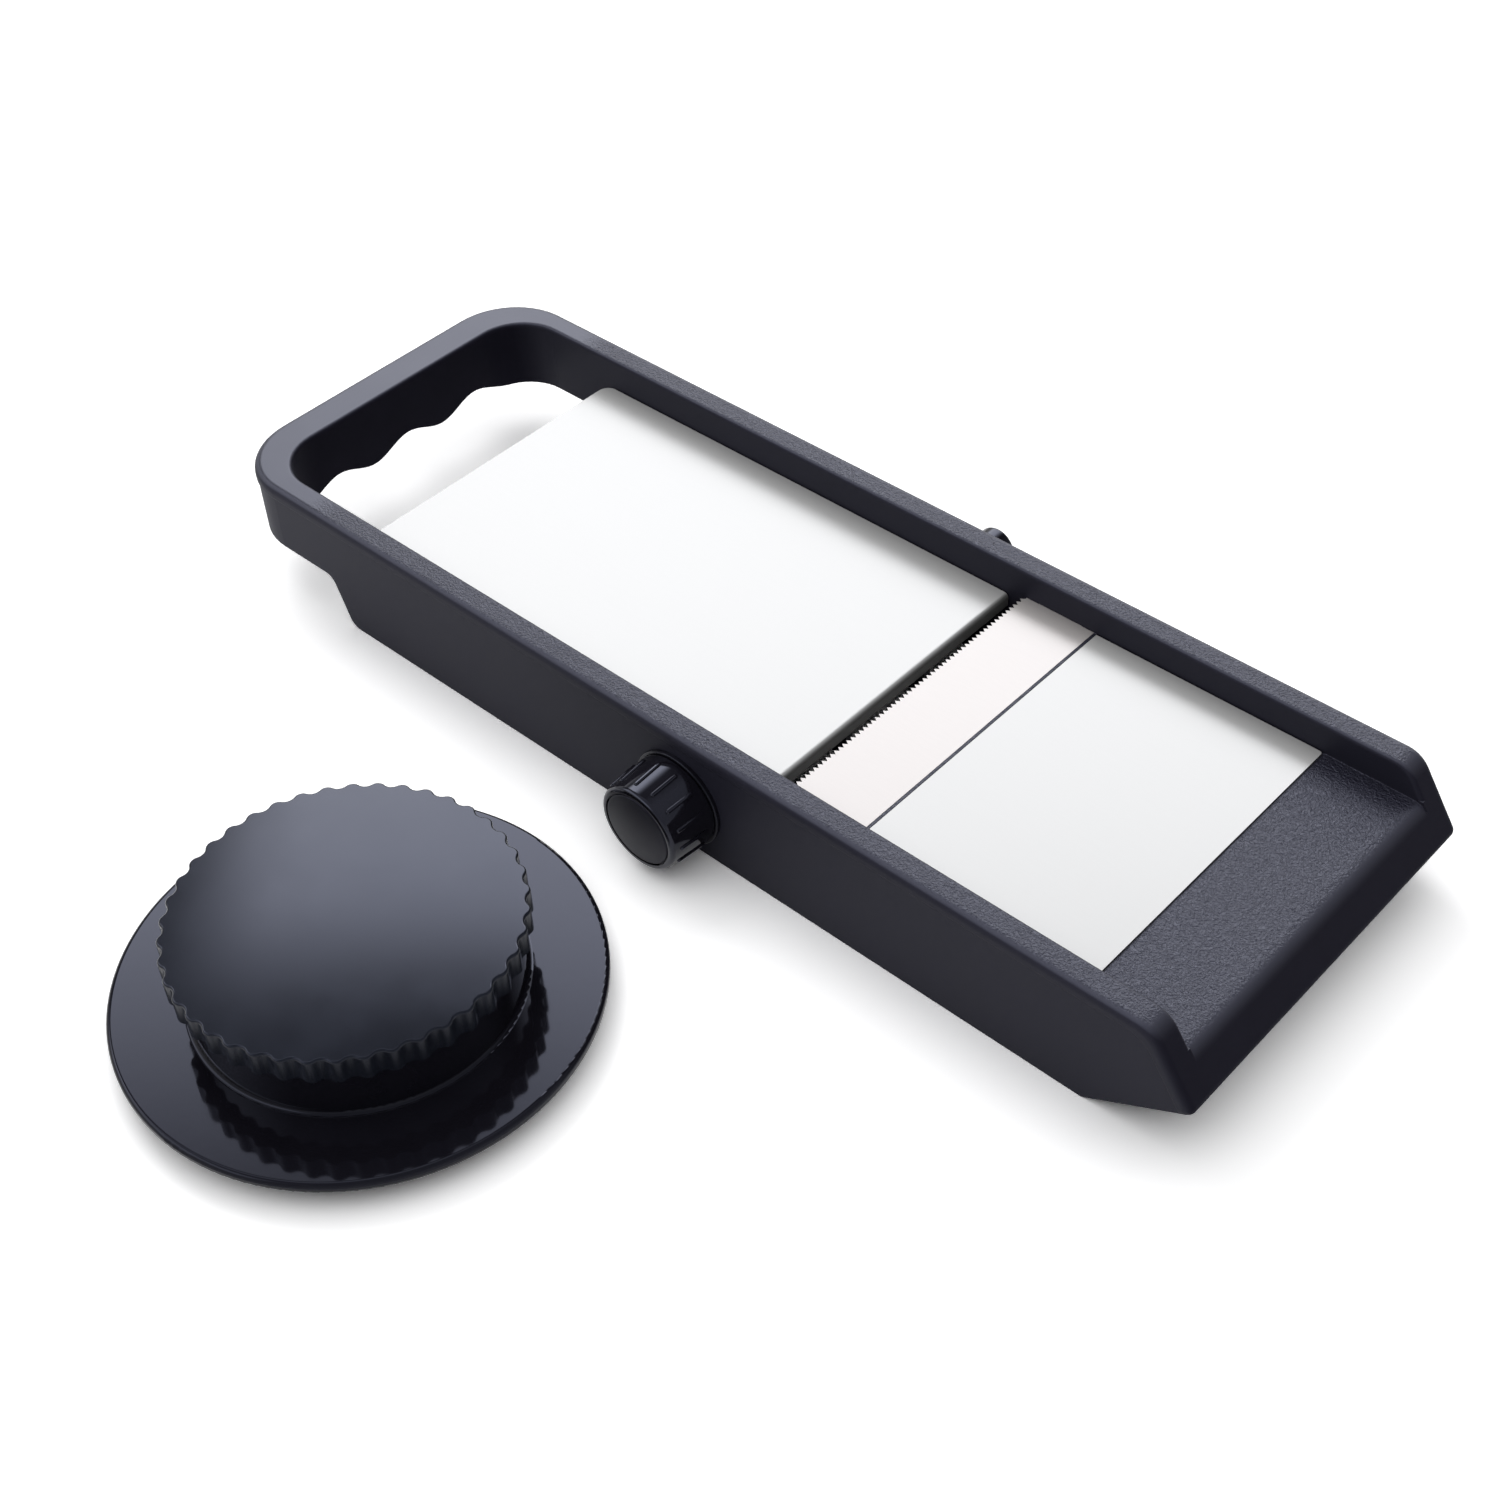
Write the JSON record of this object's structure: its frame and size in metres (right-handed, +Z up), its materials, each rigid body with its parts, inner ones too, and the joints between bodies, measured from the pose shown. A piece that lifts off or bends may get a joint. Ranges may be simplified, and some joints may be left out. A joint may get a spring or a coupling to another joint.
{
  "type": "mandoline slicer",
  "caption": "Black plastic mandoline slicer with steel feed and landing plates, a toothed straight blade, a side knob that sets slice thickness, and a round hand guard standing beside it.",
  "frame": {"origin": "middle of the slicer's own length and width, on the board that it rests on", "axes": "+X from the handle to the foot, +Y away from the knob side, +Z up from the board"},
  "size_m": [0.3368, 0.2834, 0.037],
  "materials": {
    "frame_plastic": "moulded, satin walls with a fine leather grain on the tops",
    "gloss_plastic": "moulded, polished black",
    "inner_plastic": "moulded, plain",
    "polished_steel": "stainless sheet, bright polish",
    "blade_steel": "stainless strip, ground along the edge",
    "fastener_steel": "turned stainless"
  },
  "bodies": {
    "slicer_frame": {"frame": "frame_plastic", "landing_plate": "polished_steel", "blade": "blade_steel", "blade_clamps": "inner_plastic", "blade_screws": "fastener_steel", "near_bush": "gloss_plastic", "far_bush": "gloss_plastic"},
    "feed_table": {"feed_plate": "polished_steel", "feed_carrier": "inner_plastic", "hinge_pins": "fastener_steel"},
    "adjuster": {"crank_shaft": "fastener_steel", "thickness_knob": "gloss_plastic", "knob_cover": "gloss_plastic", "knob_screw": "fastener_steel", "end_cap": "gloss_plastic", "spring_washer": "fastener_steel"},
    "hand_guard": {"guard_body": "gloss_plastic", "guard_cap": "frame_plastic", "prong_plate": "inner_plastic", "guard_prongs": "fastener_steel", "guard_screws": "fastener_steel"}
  },
  "joints": [
    {"name": "knob_turn", "type": "hinge", "parent": "slicer_frame", "child": "adjuster", "pos_m": [0.0121, 0, 0.0159], "axis": [0, 1, 0], "range_deg": [0, 120]},
    {"name": "feed_tilt", "type": "hinge", "parent": "slicer_frame", "child": "feed_table", "pos_m": [-0.113, 0, 0.0205], "axis": [0, 1, 0], "range_deg": [0, 1.38]},
    {"name": "guard_lift", "type": "slide", "parent": "slicer_frame", "child": "hand_guard", "axis": [0, 0, 1], "range_m": [0, 0.08]}
  ],
  "couplings": [
    {"joint": "feed_tilt", "follows": "knob_turn", "ratio": 0.011488}
  ]
}
